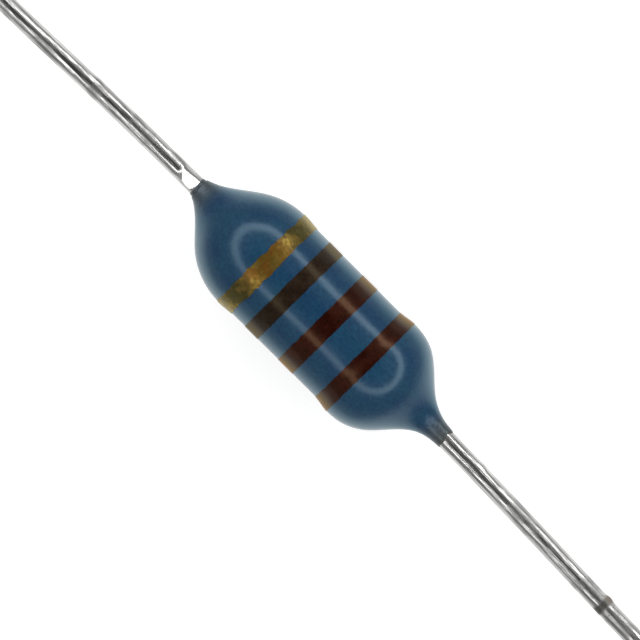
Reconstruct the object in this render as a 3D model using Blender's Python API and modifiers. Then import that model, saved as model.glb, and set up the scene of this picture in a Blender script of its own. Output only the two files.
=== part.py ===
"""An axial inductor: a ferrite drum wound with magnet wire between two tinned leads, dipped in
blue epoxy and ringed with four colour bands.

All lengths are in metres. The part's axis runs along X, +Z is up, and the part lies on the
plane z = 0 with its middle over the origin. A radius is measured from the part's axis.
"""

import math

import bmesh
import bpy

# Fit between pieces that touch
CLEARANCE = 0.00002

# Ferrite drum
CORE_LENGTH = 0.0060
FLANGE_DIAMETER = 0.0032
FLANGE_THICKNESS = 0.0009
FLANGE_EDGE_RADIUS = 0.00012
BARREL_DIAMETER = 0.0025
LEAD_HOLE_DEPTH = 0.0013

# Magnet wire
WIRE_DIAMETER = 0.00025
TURN_GAP = 0.00002
LEAD_WRAP_COUNT = 2
FACE_SWEEP = math.radians(90)
RIM_SWEEP = math.radians(60)
CLIMB_SWEEP = math.radians(60)

# Solder on each lead
SOLDER_WALL = 0.00010
SOLDER_TAIL = 0.00035
SOLDER_EDGE = 0.00003

# Tinned leads
LEAD_DIAMETER = 0.00065
TIP_TO_TIP = 0.0640
TAPED_LENGTH = 0.0060
LEFT_BOW = 0.000165
RIGHT_BOW = 0.000105
CRANK_SLOPE = 0.445
CRANK_LENGTH = 0.00080
CRANK_BEND = 0.00010
NICK_DISTANCE = 0.00768
NICK_LENGTH = 0.00042
NICK_HEIGHT = 0.00003

# Epoxy coat
COVER_OVER_COIL = 0.00043
LEFT_COVER_OVER_TAIL = 0.000164
RIGHT_COVER_OVER_TAIL = 0.000193
SWELL_LENGTH = 0.00065
LEFT_TAPER_LENGTH = 0.00335
RIGHT_TAPER_LENGTH = 0.00343
LEFT_SHOULDER = 0.00190
RIGHT_SHOULDER = 0.00184
LEFT_NECK = 0.00114
RIGHT_NECK = 0.00174
LEFT_NECK_SLOPE = 0.26
RIGHT_NECK_SLOPE = 0.0
FILM_ON_LEAD = 0.000035

# Turn of the body against the leads, as a slope towards +Y
BODY_TURN = 0.0065

# Lean of the necks towards +Y, its length, and how far inside the coat's end it is done
LEFT_LEAN = 0.000140
RIGHT_LEAN = 0.000128
LEFT_LEAN_LENGTH = 0.00162
RIGHT_LEAN_LENGTH = 0.00145
LEFT_LEAN_REST = 0.0001
RIGHT_LEAN_REST = 0.0007

# Printed bands, by the distance of their middle from the middle of the drum
INK_THICKNESS = 0.00002
GOLD_BAND_AT = -0.00235
GOLD_BAND_WIDTH = 0.00064
BLACK_BAND_AT = -0.00111
BLACK_BAND_WIDTH = 0.00061
FIRST_RED_BAND_AT = 0.00049
FIRST_RED_BAND_WIDTH = 0.00068
SECOND_RED_BAND_AT = 0.00222
SECOND_RED_BAND_WIDTH = 0.00060

# Fineness of the facets; a wire has four sides and four more for each of its facet steps
SIDES = 28
SOLDER_SIDES = 20
LEAD_FACET_STEPS = 4
WIRE_FACET_STEPS = 2
WIRE_POINTS_PER_TURN = 12
TAIL_STEP = math.radians(15)
TAPER_STEPS = 10
SWELL_STEPS = 2
NECK_STEPS = 6
LEAD_STEPS = 7
SOLDER_STEPS = 4
FLANGE_EDGE_STEPS = 1
SHARP_FROM = math.radians(30)

# Points closer than this are one point, and steps this near to a whole number are whole
MERGE_DISTANCE = 1e-8
ROUNDING = 1e-6

# A rounded corner may take this share of the edges that meet in it
MOST_OF_AN_EDGE = 0.45

LEFT = -1
RIGHT = 1

# Sizes that follow from the driving ones
LEAD_RADIUS = LEAD_DIAMETER / 2
WIRE_RADIUS = WIRE_DIAMETER / 2
FLANGE_RADIUS = FLANGE_DIAMETER / 2
CORE_FACE = CORE_LENGTH / 2
FLANGE_MIDDLE = CORE_FACE - FLANGE_THICKNESS / 2
BORE_RADIUS = LEAD_RADIUS + CLEARANCE
BAND_GAP = CLEARANCE / 2
TURN_PITCH = WIRE_DIAMETER + TURN_GAP

# A turn of wire is a polygon, so its corners stand further out than its middles
COIL_HALF_STEP = math.pi / WIRE_POINTS_PER_TURN
COIL_RADIUS = (BARREL_DIAMETER / 2 + CLEARANCE + WIRE_RADIUS) / math.cos(COIL_HALF_STEP)
COIL_OUTSIDE = COIL_RADIUS + WIRE_RADIUS
RIM_RADIUS = (FLANGE_RADIUS + CLEARANCE + WIRE_RADIUS) / math.cos(TAIL_STEP / 2)
RIM_OUTSIDE = RIM_RADIUS + WIRE_RADIUS
WRAP_RADIUS = (LEAD_RADIUS + CLEARANCE + WIRE_RADIUS) / math.cos(COIL_HALF_STEP)
WRAP_OUTSIDE = WRAP_RADIUS + WIRE_RADIUS

# Places along the axis, as distances from the middle of the drum
COIL_END = CORE_FACE - FLANGE_THICKNESS - CLEARANCE - WIRE_RADIUS
TAIL_PLANE = CORE_FACE + CLEARANCE + WIRE_RADIUS
LAST_WRAP = TAIL_PLANE + LEAD_WRAP_COUNT * TURN_PITCH
SOLDER_MOUTH = TAIL_PLANE + WIRE_RADIUS + CLEARANCE
SOLDER_STEP = LAST_WRAP + WIRE_RADIUS + CLEARANCE
SOLDER_END = SOLDER_STEP + SOLDER_TAIL
SOLDER_RADIUS = WRAP_OUTSIDE + CLEARANCE + SOLDER_WALL

WAIST_RADIUS = COIL_OUTSIDE + COVER_OVER_COIL
SWELL_START = FLANGE_MIDDLE - SWELL_LENGTH

END_SIZES = {
    LEFT: {
        "cover": LEFT_COVER_OVER_TAIL,
        "taper": LEFT_TAPER_LENGTH,
        "shoulder": LEFT_SHOULDER,
        "neck": LEFT_NECK,
        "slope": LEFT_NECK_SLOPE,
        "lean": LEFT_LEAN,
        "lean_length": LEFT_LEAN_LENGTH,
        "lean_rest": LEFT_LEAN_REST,
        "bow": LEFT_BOW,
        "crank": CRANK_SLOPE,
    },
    RIGHT: {
        "cover": RIGHT_COVER_OVER_TAIL,
        "taper": RIGHT_TAPER_LENGTH,
        "shoulder": RIGHT_SHOULDER,
        "neck": RIGHT_NECK,
        "slope": RIGHT_NECK_SLOPE,
        "lean": RIGHT_LEAN,
        "lean_length": RIGHT_LEAN_LENGTH,
        "lean_rest": RIGHT_LEAN_REST,
        "bow": RIGHT_BOW,
        "crank": 0.0,
    },
}

BANDS = {
    "gold_band": (GOLD_BAND_AT, GOLD_BAND_WIDTH, "gold_ink"),
    "black_band": (BLACK_BAND_AT, BLACK_BAND_WIDTH, "black_ink"),
    "red_band_1": (FIRST_RED_BAND_AT, FIRST_RED_BAND_WIDTH, "red_ink"),
    "red_band_2": (SECOND_RED_BAND_AT, SECOND_RED_BAND_WIDTH, "red_ink"),
}

# Colour, metallic and roughness of each finish
FINISHES = {
    "ferrite": ((0.060, 0.056, 0.054), 0.0, 0.60),
    "enamelled_copper": ((0.560, 0.230, 0.090), 0.9, 0.28),
    "solder": ((0.620, 0.620, 0.600), 1.0, 0.30),
    "tinned_wire": ((0.720, 0.720, 0.690), 1.0, 0.22),
    "blue_epoxy": ((0.019, 0.055, 0.114), 0.0, 0.12),
    "gold_ink": ((0.260, 0.130, 0.030), 0.5, 0.35),
    "black_ink": ((0.014, 0.010, 0.008), 0.0, 0.20),
    "red_ink": ((0.040, 0.008, 0.005), 0.0, 0.20),
}


def smooth_step(share):
    """Rises from 0 to 1 with level ends."""
    share = min(max(share, 0.0), 1.0)
    return share * share * (3 - 2 * share)


def end_of_coat(side):
    return FLANGE_MIDDLE + END_SIZES[side]["taper"]


def bowed_length(side):
    """The length of a lead between the coat and the stretch that a reel's tape kept straight."""
    return TIP_TO_TIP / 2 - TAPED_LENGTH - end_of_coat(side)


def sideways(x):
    """How far the centre line of necks and leads stands off the axis, towards +Y."""
    side = LEFT if x < 0 else RIGHT
    sizes = END_SIZES[side]
    outside = abs(x) - end_of_coat(side)
    if outside <= 0:
        lean = smooth_step(1 + (outside + sizes["lean_rest"]) / sizes["lean_length"])
        return BODY_TURN * x * (1 - lean) + sizes["lean"] * lean
    share = min(outside / bowed_length(side), 1.0)
    return sizes["lean"] * (1 - share) ** 2 - sizes["bow"] * math.sin(math.pi * share) ** 3


def crank_run(outside):
    """How far along its slope a crank is at a distance outside the coat, with two short bends."""
    outside = min(outside, CRANK_LENGTH)
    if outside < CRANK_BEND:
        return outside**2 / (2 * CRANK_BEND)
    if outside > CRANK_LENGTH - CRANK_BEND:
        return CRANK_LENGTH - CRANK_BEND - (CRANK_LENGTH - outside) ** 2 / (2 * CRANK_BEND)
    return outside - CRANK_BEND / 2


def upwards(x):
    """How far a lead's centre line stands over the axis: the left one is cranked down at the coat."""
    side = LEFT if x < 0 else RIGHT
    outside = max(abs(x) - end_of_coat(side), 0.0)
    share = min(outside / bowed_length(side), 1.0)
    return -END_SIZES[side]["crank"] * crank_run(outside) * (1 - smooth_step(share))


def swell(side):
    """The coat's corners between its waist and its widest ring, as (x, radius)."""
    widest = RIM_OUTSIDE + END_SIZES[side]["cover"]
    corners = []
    for step in range(SWELL_STEPS):
        share = step / SWELL_STEPS
        radius = WAIST_RADIUS + (widest - WAIST_RADIUS) * smooth_step(share)
        corners.append((side * (SWELL_START + SWELL_LENGTH * share), radius))
    return corners


def taper(side):
    """The coat's corners from its widest ring down to the film on the lead: one Bezier curve."""
    sizes = END_SIZES[side]
    widest = RIM_OUTSIDE + sizes["cover"]
    end = end_of_coat(side)
    film = LEAD_RADIUS + FILM_ON_LEAD
    shoulder = (FLANGE_MIDDLE + sizes["shoulder"], widest)
    neck = (end - sizes["neck"], film + sizes["slope"] * sizes["neck"])
    handles = ((FLANGE_MIDDLE, widest), shoulder, neck, (end, film))
    corners = []
    for step in range(TAPER_STEPS + 1):
        share = step / TAPER_STEPS
        rest = 1 - share
        weights = (rest**3, 3 * rest * rest * share, 3 * rest * share * share, share**3)
        x = sum(weight * handle[0] for weight, handle in zip(weights, handles))
        radius = sum(weight * handle[1] for weight, handle in zip(weights, handles))
        corners.append((side * x, radius))
    return corners


def coat_outside():
    """The coat's outer outline from its left end to its right end."""
    left = swell(LEFT) + taper(LEFT)
    return left[::-1] + swell(RIGHT) + taper(RIGHT)


def radius_on(outline, x):
    """The radius of an outline at x, on the straight line between its corners."""
    for (x_a, radius_a), (x_b, radius_b) in zip(outline, outline[1:]):
        if x_a <= x <= x_b:
            return radius_a + (radius_b - radius_a) * (x - x_a) / (x_b - x_a)
    return outline[-1][1]


def solder_outside():
    """The solder's outer outline from its mouth at the drum out along the lead."""
    edge = BORE_RADIUS + SOLDER_EDGE
    corners = [(SOLDER_MOUTH, SOLDER_RADIUS - SOLDER_WALL / 2)]
    corners.append((SOLDER_MOUTH + SOLDER_WALL / 2, SOLDER_RADIUS))
    for step in range(SOLDER_STEPS + 1):
        share = step / SOLDER_STEPS
        radius = SOLDER_RADIUS + (edge - SOLDER_RADIUS) * smooth_step(share)
        corners.append((SOLDER_STEP - SOLDER_WALL + (SOLDER_TAIL + SOLDER_WALL) * share, radius))
    return corners


def cavity(side):
    """The coat's inner outline from the middle of the drum out to the coat's end."""
    over_coil = COIL_OUTSIDE + 2 * CLEARANCE
    over_flange = FLANGE_RADIUS + CLEARANCE
    flange_start = CORE_FACE - FLANGE_THICKNESS - CLEARANCE
    solder = [(x + CLEARANCE, radius + CLEARANCE) for x, radius in solder_outside()]
    corners = [(flange_start, over_coil), (flange_start, over_flange)]
    corners.append((CORE_FACE + CLEARANCE, over_flange))
    corners.append((CORE_FACE + CLEARANCE, solder[1][1]))
    corners += solder[1:]
    corners.append((solder[-1][0], BORE_RADIUS))
    first = solder[-1][0]
    end = end_of_coat(side)
    corners += [
        (first + (end - first) * step / NECK_STEPS, BORE_RADIUS)
        for step in range(1, NECK_STEPS + 1)
    ]
    return [(side * x, radius) for x, radius in corners]


def rounded(corners, radius, steps):
    """An outline whose corners are replaced by arcs; its first and last points stay."""
    outline = [corners[0]]
    for before, corner, after in zip(corners, corners[1:], corners[2:]):
        to_before = (before[0] - corner[0], before[1] - corner[1])
        to_after = (after[0] - corner[0], after[1] - corner[1])
        reach_before = min(radius / math.hypot(*to_before), MOST_OF_AN_EDGE)
        reach_after = min(radius / math.hypot(*to_after), MOST_OF_AN_EDGE)
        start = (corner[0] + to_before[0] * reach_before, corner[1] + to_before[1] * reach_before)
        end = (corner[0] + to_after[0] * reach_after, corner[1] + to_after[1] * reach_after)
        for step in range(steps + 1):
            share = step / steps
            rest = 1 - share
            outline.append(
                tuple(
                    rest * rest * a + 2 * rest * share * b + share * share * c
                    for a, b, c in zip(start, corner, end)
                )
            )
    outline.append(corners[-1])
    return outline


def new_collection(name):
    collection = bpy.data.collections.new(name)
    bpy.context.scene.collection.children.link(collection)
    return collection


def finish(name):
    """A Principled material for a finish, made once."""
    if name in bpy.data.materials:
        return bpy.data.materials[name]
    colour, metallic, roughness = FINISHES[name]
    material = bpy.data.materials.new(name)
    material.use_nodes = True
    shader = material.node_tree.nodes["Principled BSDF"]
    shader.inputs["Base Color"].default_value = (*colour, 1.0)
    shader.inputs["Metallic"].default_value = metallic
    shader.inputs["Roughness"].default_value = roughness
    return material


def follow_necks(mesh):
    """Shifts each point sideways with the necks' centre line."""
    for vertex in mesh.vertices:
        vertex.co.y += sideways(vertex.co.x)


def turned(name, outline, sides, closed):
    """A body turned about X from an outline of (x, radius) that runs along +X on its outer side.

    A closed outline goes round a wall and an open one starts and ends on the axis. The screw
    turns about Z, and the mesh is then laid along X with a facet underneath.
    """
    profile = bpy.data.meshes.new(name + "_profile")
    half_step = math.pi / sides
    points = [(r * math.cos(half_step), r * math.sin(half_step), -x) for x, r in outline]
    edges = [(i, i + 1) for i in range(len(points) - 1)]
    if closed:
        edges.append((len(points) - 1, 0))
    profile.from_pydata(points, edges, [])
    carrier = bpy.data.objects.new(name + "_profile", profile)
    bpy.context.scene.collection.objects.link(carrier)
    screw = carrier.modifiers.new("turn", "SCREW")
    screw.axis = "Z"
    screw.steps = sides
    screw.render_steps = sides
    screw.use_merge_vertices = True
    screw.merge_threshold = MERGE_DISTANCE
    carrier.rotation_euler = (0.0, -math.pi / 2, 0.0)
    mesh = evaluated_mesh(carrier)
    mesh.name = name
    follow_necks(mesh)
    bpy.data.objects.remove(carrier)
    return bpy.data.objects.new(name, mesh)


def evaluated_mesh(carrier):
    """The mesh that an object's modifiers or curve settings give, in world space."""
    bpy.context.view_layer.update()
    evaluated = carrier.evaluated_get(bpy.context.evaluated_depsgraph_get())
    mesh = bpy.data.meshes.new_from_object(evaluated)
    mesh.transform(carrier.matrix_world)
    return mesh


def wire_object(name, points, radius, facet_steps, scales=None):
    """A round wire through points, as a poly curve with filled caps."""
    curve = bpy.data.curves.new(name, "CURVE")
    curve.dimensions = "3D"
    curve.bevel_depth = radius
    curve.bevel_resolution = facet_steps
    curve.render_resolution_u = 0
    curve.use_fill_caps = True
    spline = curve.splines.new("POLY")
    spline.points.add(len(points) - 1)
    for index, point in enumerate(points):
        spline.points[index].co = (*point, 1.0)
        spline.points[index].radius = scales[index] if scales else 1.0
    return bpy.data.objects.new(name, curve)


def joined_mesh_object(carrier):
    """A curve made a mesh whose caps are welded on, so that it can cut."""
    bpy.context.scene.collection.objects.link(carrier)
    name = carrier.name
    mesh = evaluated_mesh(carrier)
    bpy.data.objects.remove(carrier)
    shape = bmesh.new()
    shape.from_mesh(mesh)
    bmesh.ops.remove_doubles(shape, verts=shape.verts, dist=MERGE_DISTANCE)
    bmesh.ops.recalc_face_normals(shape, faces=shape.faces)
    shape.to_mesh(mesh)
    shape.free()
    return bpy.data.objects.new(name, mesh)


def along(stations, first_angle):
    """Points of a wire through stations of (x, radius, sweep to get there, largest step)."""
    x, radius, _, _ = stations[0]
    angle = first_angle
    points = [(x, radius, angle)]
    for next_x, next_radius, sweep, largest_step in stations[1:]:
        steps = max(1, math.ceil(sweep / largest_step - ROUNDING))
        for step in range(1, steps + 1):
            share = step / steps
            here = (x + (next_x - x) * share, radius + (next_radius - radius) * share)
            points.append((*here, angle + sweep * share))
        x, radius, angle = next_x, next_radius, angle + sweep
    return points


def in_space(turned_points):
    """Points of (x, radius, angle) as (x, y, z), shifted with the necks."""
    return [
        (x, radius * math.cos(angle) + sideways(x), radius * math.sin(angle))
        for x, radius, angle in turned_points
    ]


def wire_stations():
    """The whole wire: wraps, tail over the rim, coil, and the same again outwards."""
    coil_step = 2 * COIL_HALF_STEP
    turns = max(1, int(2 * COIL_END / TURN_PITCH))
    wraps = 2 * math.pi * LEAD_WRAP_COUNT
    return [
        (-LAST_WRAP, WRAP_RADIUS, 0.0, coil_step),
        (-TAIL_PLANE, WRAP_RADIUS, wraps, coil_step),
        (-TAIL_PLANE, RIM_RADIUS, FACE_SWEEP, TAIL_STEP),
        (-COIL_END, RIM_RADIUS, RIM_SWEEP, TAIL_STEP),
        (-COIL_END, COIL_RADIUS, CLIMB_SWEEP, TAIL_STEP),
        (COIL_END, COIL_RADIUS, 2 * math.pi * turns, coil_step),
        (COIL_END, RIM_RADIUS, CLIMB_SWEEP, TAIL_STEP),
        (TAIL_PLANE, RIM_RADIUS, RIM_SWEEP, TAIL_STEP),
        (TAIL_PLANE, WRAP_RADIUS, FACE_SWEEP, TAIL_STEP),
        (LAST_WRAP, WRAP_RADIUS, wraps, coil_step),
    ]


def make_core():
    """The ferrite drum, with a blind hole for a lead in each end."""
    hole_floor = CORE_FACE - LEAD_HOLE_DEPTH
    window = CORE_FACE - FLANGE_THICKNESS
    barrel = BARREL_DIAMETER / 2
    right_hole = [(CORE_FACE, BORE_RADIUS), (hole_floor, BORE_RADIUS), (hole_floor, 0.0)]
    left_hole = [(-x, radius) for x, radius in right_hole[::-1]]
    rim_right = [(window, barrel), (window, FLANGE_RADIUS), (CORE_FACE, FLANGE_RADIUS)]
    rim_left = [(-x, radius) for x, radius in rim_right[::-1]]
    drum = [left_hole[-1]] + rim_left + rim_right + [right_hole[0]]
    drum = rounded(drum, FLANGE_EDGE_RADIUS, FLANGE_EDGE_STEPS)
    return turned("ferrite_core", left_hole[:-1] + drum + right_hole[1:], SIDES, closed=False)


def make_winding():
    """One magnet wire: its coil, its two tails over the flanges and its wraps on the leads."""
    points = in_space(along(wire_stations(), 0.0))
    return wire_object("copper_winding", points, WIRE_RADIUS, WIRE_FACET_STEPS)


def make_tail_cutters():
    """Thickened copies of the wire's two tails, which cut their channels in the coat."""
    stations = wire_stations()
    cutters = []
    for name, first, last in (("left_tail_channel", 1, 4), ("right_tail_channel", 5, 8)):
        start = sum(station[2] for station in stations[: first + 1])
        tail = along(stations[first : last + 1], start)
        cutter = wire_object(name, in_space(tail), WIRE_RADIUS + CLEARANCE, WIRE_FACET_STEPS)
        cutters.append(joined_mesh_object(cutter))
    return cutters


def make_solder(side, name):
    """The solder round the wraps: a collar that closes onto the lead."""
    inside = [
        (SOLDER_END, BORE_RADIUS),
        (SOLDER_STEP, BORE_RADIUS),
        (SOLDER_STEP, WRAP_OUTSIDE + CLEARANCE),
        (SOLDER_MOUTH, WRAP_OUTSIDE + CLEARANCE),
    ]
    outline = solder_outside() + inside
    if side == LEFT:
        outline = [(-x, radius) for x, radius in outline[::-1]]
    return turned(name, outline, SOLDER_SIDES, closed=True)


def lead_places(side):
    """Distances from the middle of the drum at which a lead has a point."""
    end = end_of_coat(side)
    tape = end + bowed_length(side)
    lean_end = end - END_SIZES[side]["lean_rest"]
    lean_start = lean_end - END_SIZES[side]["lean_length"]
    bow_start = end + CRANK_LENGTH
    places = [CORE_FACE - LEAD_HOLE_DEPTH + CLEARANCE]
    places += [lean_start + (lean_end - lean_start) * i / NECK_STEPS for i in range(NECK_STEPS + 1)]
    places += [end, end + CRANK_BEND, bow_start - CRANK_BEND, bow_start]
    places += [bow_start + (tape - bow_start) * i / LEAD_STEPS for i in range(1, LEAD_STEPS + 1)]
    places.append(TIP_TO_TIP / 2)
    return places


def make_lead(side, name):
    """A lead from the bottom of its hole to its cut end; a nick raised the right one's +Y side."""
    places = lead_places(side)
    nick = end_of_coat(side) + NICK_DISTANCE
    if side == RIGHT:
        places += [nick - NICK_LENGTH / 2, nick, nick + NICK_LENGTH / 2]
        places.sort()
    raised = [NICK_HEIGHT / 2 if x == nick else 0.0 for x in places]
    points = [(side * x, sideways(side * x) + up, upwards(side * x)) for x, up in zip(places, raised)]
    scales = [1 + up / LEAD_RADIUS for up in raised]
    return wire_object(name, points, LEAD_RADIUS, LEAD_FACET_STEPS, scales)


def make_coat(cutters):
    """The dipped epoxy: thick over the drum, drawn out onto the leads, and hollow to fit."""
    inside = cavity(LEFT)[::-1] + cavity(RIGHT)
    coat = turned("epoxy_coat", coat_outside() + inside[::-1], SIDES, closed=True)
    for cutter in cutters:
        cut = coat.modifiers.new(cutter.name, "BOOLEAN")
        cut.operation = "DIFFERENCE"
        cut.solver = "EXACT"
        cut.object = cutter
    return coat


def band_outline(middle, width):
    """A closed outline round an ink ring that follows the coat under it."""
    coat = coat_outside()
    first, last = middle - width / 2, middle + width / 2
    places = [first] + [x for x, _ in coat if first < x < last] + [last]
    under = [(x, radius_on(coat, x) + BAND_GAP) for x in places]
    over = [(x, radius + INK_THICKNESS) for x, radius in under]
    return over + under[::-1]


def make_band(name, middle, width):
    return turned(name, band_outline(middle, width), SIDES, closed=True)


def axis_height():
    """How high the axis stands when the part lies on the flat under its widest ring."""
    widest = max(radius for _, radius in coat_outside())
    for middle, width, _ in BANDS.values():
        widest = max(widest, max(radius for _, radius in band_outline(middle, width)))
    return widest * math.cos(math.pi / SIDES)


def place(body, collection, axis, finish_name):
    """Hangs a body on the axis empty and gives it its finish."""
    collection.objects.link(body)
    body.parent = axis
    body.data.materials.clear()
    body.data.materials.append(finish(finish_name))
    if body.type == "MESH":
        body.data.shade_smooth()
        body.data.set_sharp_from_angle(angle=SHARP_FROM)


def main():
    for old in list(bpy.data.objects):
        bpy.data.objects.remove(old)
    collection = new_collection("axial_inductor")
    cutter_collection = new_collection("cutters")
    axis = bpy.data.objects.new("axis", None)
    axis.location = (0.0, 0.0, axis_height())
    collection.objects.link(axis)

    cutters = make_tail_cutters()
    for cutter in cutters:
        cutter_collection.objects.link(cutter)
        cutter.parent = axis
        cutter.hide_render = True
        cutter.display_type = "WIRE"

    place(make_core(), collection, axis, "ferrite")
    place(make_winding(), collection, axis, "enamelled_copper")
    place(make_solder(LEFT, "solder_left"), collection, axis, "solder")
    place(make_solder(RIGHT, "solder_right"), collection, axis, "solder")
    place(make_lead(LEFT, "lead_left"), collection, axis, "tinned_wire")
    place(make_lead(RIGHT, "lead_right"), collection, axis, "tinned_wire")
    place(make_coat(cutters), collection, axis, "blue_epoxy")
    for name, (middle, width, ink) in BANDS.items():
        place(make_band(name, middle, width), collection, axis, ink)


main()
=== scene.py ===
# %% [markdown]
# # An axial inductor, finished for the camera
#
# The part is a small ferrite drum wound with copper wire. A tinned lead is soldered to each of its
# ends, the whole is dipped in blue epoxy, and four printed rings give its value. The frame that is
# loaded here holds every piece at its real size, plainly made. This file models finer pieces for
# all that shows, which are the coat, the rings of ink and the leads, and gives every piece the
# finish of the real one. All lengths are in metres, apart from the patterns of the finishes, which
# are laid out in millimetres.

# %% Load the frame
import math

import bpy
from mathutils import Matrix, Quaternion, Vector


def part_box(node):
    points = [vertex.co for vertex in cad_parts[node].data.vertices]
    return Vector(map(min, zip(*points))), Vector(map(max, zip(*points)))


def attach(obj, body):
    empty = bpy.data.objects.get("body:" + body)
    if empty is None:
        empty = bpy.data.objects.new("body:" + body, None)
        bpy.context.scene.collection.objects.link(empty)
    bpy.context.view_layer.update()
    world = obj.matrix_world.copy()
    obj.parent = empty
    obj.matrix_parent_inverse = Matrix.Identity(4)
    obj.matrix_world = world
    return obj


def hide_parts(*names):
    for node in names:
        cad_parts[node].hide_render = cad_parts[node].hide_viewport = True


MILLIMETRES = 1000.0


def in_millimetres(lengths):
    """Lengths as they are printed."""
    return [round(length * MILLIMETRES, 3) for length in lengths]


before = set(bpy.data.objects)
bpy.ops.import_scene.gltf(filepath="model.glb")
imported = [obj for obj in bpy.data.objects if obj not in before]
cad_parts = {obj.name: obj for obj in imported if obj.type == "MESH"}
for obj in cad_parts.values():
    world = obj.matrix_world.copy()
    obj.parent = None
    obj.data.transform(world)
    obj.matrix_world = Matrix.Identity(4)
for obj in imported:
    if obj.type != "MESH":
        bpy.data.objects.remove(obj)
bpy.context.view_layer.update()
print("pieces in the frame:", ", ".join(sorted(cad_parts)))

# %% [markdown]
# ## Sizes that come from the frame
#
# A new piece has to sit exactly where its plain one is, so its places are read from the frame and
# not typed again. The part lies along X, so the middle of the coat's box is the height of the
# axis, the ends of the coat's box are where the leads come out, and the drum and the solder give
# the hollow that the coat has to leave.

# %% Read the places of the main pieces
LEFT = -1
RIGHT = 1


def reach(node):
    """How far a node's box goes to the left and to the right of the middle."""
    low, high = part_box(node)
    return {LEFT: -low.x, RIGHT: high.x}


def thickness(node):
    """The height of a node's box."""
    low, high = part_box(node)
    return high.z - low.z


coat_low, coat_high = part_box("epoxy_coat")
AXIS_HEIGHT = (coat_low.z + coat_high.z) / 2
COAT_ENDS = reach("epoxy_coat")
DRUM_END = reach("ferrite_core")[RIGHT]
LEAD_TIP = reach("lead_right")[RIGHT]
LEAD_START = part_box("lead_right")[0].x
WIRE_END = reach("copper_winding")[RIGHT]
WIRE_REACH = thickness("copper_winding") / 2
SOLDER_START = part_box("solder_right")[0].x
SOLDER_END = reach("solder_right")[RIGHT]
SOLDER_RADIUS = thickness("solder_right") / 2
print("axis height in millimetres:", in_millimetres([AXIS_HEIGHT]))
print("ends of the coat in millimetres:", in_millimetres(COAT_ENDS.values()))

# %% [markdown]
# ## Camera
#
# The reference was taken from straight above with a macro lens, and the part lies across it at
# about 45 degrees. A long lens at a working distance of 25 cm gives the same flat perspective. The
# lens follows from the width that the picture has to show.

# %% Place the camera
PICTURE_WIDTH = 0.02144
PICTURE_MIDDLE = (0.000202, -0.000072)
PICTURE_TURN = math.radians(45.37)
WORKING_DISTANCE = 0.25

camera_data = bpy.data.cameras.new("macro_camera")
camera_data.lens = camera_data.sensor_width * WORKING_DISTANCE / PICTURE_WIDTH
camera = bpy.data.objects.new("macro_camera", camera_data)
camera.location = (*PICTURE_MIDDLE, AXIS_HEIGHT + WORKING_DISTANCE)
camera.rotation_euler = (0.0, 0.0, PICTURE_TURN)
bpy.context.scene.collection.objects.link(camera)
bpy.context.scene.camera = camera
bpy.context.scene.view_settings.view_transform = "Standard"
print("lens in millimetres:", round(camera_data.lens))

# %% [markdown]
# ## Small helpers for nodes
#
# A material is a graph of nodes. One helper fills the sockets of a node, either with plain values
# or with what other nodes put out, and a few more add the nodes that most finishes need. Each
# material below then reads as a short recipe.

# %% Define the node helpers
def fill(tree, node, sockets):
    """Fills a node's sockets with plain values or with other nodes' outputs."""
    for name, value in sockets.items():
        if isinstance(value, bpy.types.NodeSocket):
            tree.links.new(value, node.inputs[name])
        else:
            node.inputs[name].default_value = value


def add_node(tree, kind, sockets=None, **settings):
    """A node with its settings made and its sockets filled."""
    node = tree.nodes.new("ShaderNode" + kind)
    for setting, value in settings.items():
        setattr(node, setting, value)
    fill(tree, node, sockets or {})
    return node


def calculate(tree, operation, *values):
    """The result of a Math node."""
    return add_node(tree, "Math", dict(enumerate(values)), operation=operation).outputs[0]


def remap(tree, value, from_low, from_high, to_low=0.0, to_high=1.0):
    """A value carried smoothly from one range to another, and held at the ends.

    The sockets of a Map Range node are the value, then the ends of both ranges.
    """
    sockets = {0: value, 1: from_low, 2: from_high, 3: to_low, 4: to_high}
    node = add_node(tree, "MapRange", sockets, interpolation_type="SMOOTHSTEP", clamp=True)
    return node.outputs[0]


def mix(tree, factor, first, second, blend="MIX"):
    """The result of mixing two colours, which are sockets 6 and 7 of a Mix node."""
    sockets = {0: factor, 6: first, 7: second}
    return add_node(tree, "Mix", sockets, data_type="RGBA", blend_type=blend).outputs[2]


def shaded(tree, colour, shade):
    """A colour made darker or lighter by a shade that multiplies it."""
    return mix(tree, 1.0, colour, shade, "MULTIPLY")


def edge_on(tree, start, full, at_start=0.0, at_full=1.0):
    """A value that changes smoothly where the surface turns away from the eye."""
    facing = add_node(tree, "LayerWeight", {"Blend": 0.5}).outputs["Facing"]
    return remap(tree, facing, start, full, at_start, at_full)


def object_place(tree):
    """The place of a point on the object, in metres."""
    return add_node(tree, "TexCoord").outputs["Object"]


def axes(tree, place):
    """The three numbers of a place, as the sockets X, Y and Z."""
    return add_node(tree, "SeparateXYZ", {"Vector": place}).outputs


def rgb(red, green, blue):
    """A colour socket's value, from linear red, green and blue."""
    return (red, green, blue, 1.0)


def new_material(name):
    """A material with its node tree and its Principled shader."""
    material = bpy.data.materials.new(name)
    material.use_nodes = True
    return material, material.node_tree, material.node_tree.nodes["Principled BSDF"]


def dress(piece, material):
    """Gives a piece one material in place of any that it has."""
    piece.data.materials.clear()
    piece.data.materials.append(material)


WHITE = rgb(1.0, 1.0, 1.0)
BLACK = rgb(0.0, 0.0, 0.0)
print("node helpers are ready")

# %% [markdown]
# ## Studio
#
# The stage is a plain pale floor under a round lamp. The lamp is a ring round the lens, as macro
# photographers use it: its reflection is the long pale loop on the glossy coat, and the dark
# middle of the loop is the reflection of the lens and the room above it. The ring starts as a
# filled circle that is inset, and the inner face is then deleted. It leans towards +Y and is a
# little brighter on that side.

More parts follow.
